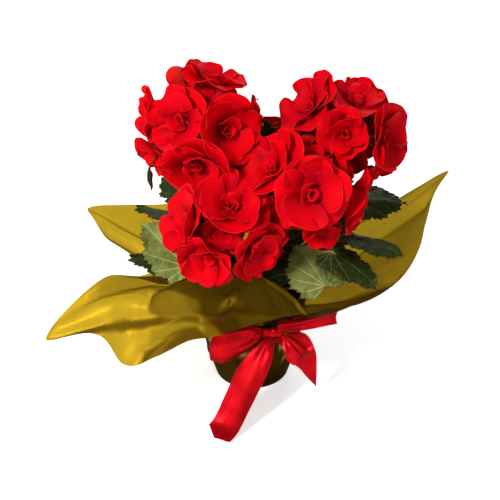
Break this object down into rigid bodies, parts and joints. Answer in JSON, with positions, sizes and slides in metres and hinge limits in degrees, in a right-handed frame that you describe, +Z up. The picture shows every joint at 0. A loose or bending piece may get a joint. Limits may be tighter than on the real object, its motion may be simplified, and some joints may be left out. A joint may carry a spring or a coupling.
{
  "type": "potted begonia in gift wrap",
  "caption": "Red double-flowered begonia in a round plastic pot, wrapped in a square of gold film tied round the pot's neck with a red satin ribbon bow",
  "frame": {"origin": "middle of the flat base that the pot and its film stand on", "axes": "+Z up, -Y towards the front where the bow is, +X to the right seen from the front"},
  "size_m": [0.4405, 0.2862, 0.3857],
  "materials": {
    "film": "glossy translucent gold film",
    "pot_plastic": "matt dark brown",
    "soil": "crumbly dark peat",
    "ribbon": "satin",
    "foliage": "waxy green",
    "petal": "soft velvety red"
  },
  "bodies": {
    "root": {"film_wrap": "film", "pot": "pot_plastic", "soil": "soil", "ribbon_band": "ribbon", "ribbon_knot": "ribbon", "ribbon_loop_left": "ribbon", "ribbon_loop_right": "ribbon", "ribbon_loop_side": "ribbon", "ribbon_tail_left": "ribbon", "ribbon_tail_right": "ribbon", "leafy_stem_left": "foliage", "bloom_left_1": "petal", "bloom_left_2": "petal", "bloom_left_3": "petal", "bloom_left_4": "petal", "bloom_left_5": "petal", "bloom_left_6": "petal", "bloom_left_7": "petal", "bloom_left_8": "petal", "bloom_left_9": "petal", "bloom_left_10": "petal", "bud_left_11": "petal", "bud_left_12": "petal", "leafy_stem_right": "foliage", "bloom_right_1": "petal", "bloom_right_2": "petal", "bloom_right_3": "petal", "bloom_right_4": "petal", "bloom_right_5": "petal", "bloom_right_6": "petal", "bloom_right_7": "petal", "bloom_right_8": "petal", "bud_right_9": "petal", "leafy_stem_centre": "foliage", "bloom_centre_1": "petal", "bloom_centre_2": "petal", "bloom_centre_3": "petal", "bloom_centre_4": "petal", "bloom_centre_5": "petal", "bloom_centre_6": "petal", "leafy_stem_front": "foliage", "bloom_front_1": "petal", "bloom_front_2": "petal", "bloom_front_3": "petal", "bloom_front_4": "petal", "bloom_front_5": "petal", "leafy_stem_back": "foliage", "bloom_back_1": "petal", "bloom_back_2": "petal", "bloom_back_3": "petal", "bloom_back_4": "petal"}
  },
  "joints": []
}
